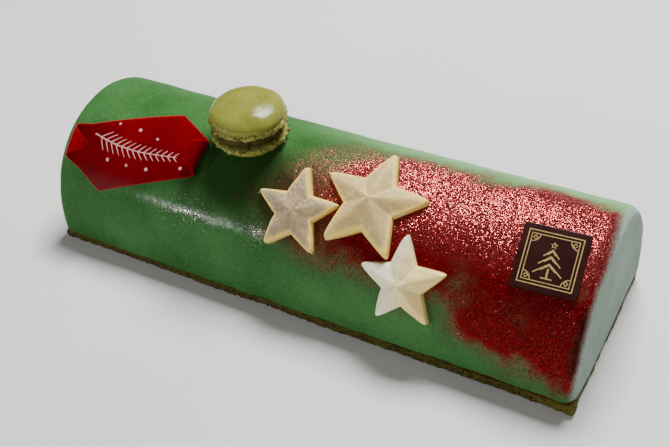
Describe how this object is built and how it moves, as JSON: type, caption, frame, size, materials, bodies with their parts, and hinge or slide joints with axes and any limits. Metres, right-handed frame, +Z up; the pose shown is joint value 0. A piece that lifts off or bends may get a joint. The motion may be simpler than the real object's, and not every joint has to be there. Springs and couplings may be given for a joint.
{
  "type": "yule log cake",
  "caption": "Half-round glazed yule log cake on a thin sponge, with a macaron, moulded stars, a red tag with rolled corners and a square of dark chocolate on top.",
  "frame": {"origin": "middle of the whole cake's footprint, on the flat underside of its sponge", "axes": "+Z up, +X along the log towards the chocolate square, -Y towards the front, where the decorations lie"},
  "size_m": [0.258, 0.0926, 0.0797],
  "materials": {
    "glaze": "satin sprayed mousse, green with red glitter and a pale end",
    "sponge": "matt porous sponge",
    "macaron_shell": "smooth satin dome with a rough foot",
    "macaron_filling": "soft dark filling",
    "star": "ivory chocolate dusted with silver",
    "tag": "smooth glossy sheet",
    "dark_chocolate": "satin dark chocolate with a gold print"
  },
  "bodies": {
    "root": {"glazed_log": "glaze", "sponge_base": "sponge", "macaron_bottom_shell": "macaron_shell", "macaron_filling": "macaron_filling", "macaron_top_shell": "macaron_shell", "star_left": "star", "star_large": "star", "star_right": "star", "red_tag": "tag", "chocolate_square": "dark_chocolate"}
  },
  "joints": []
}
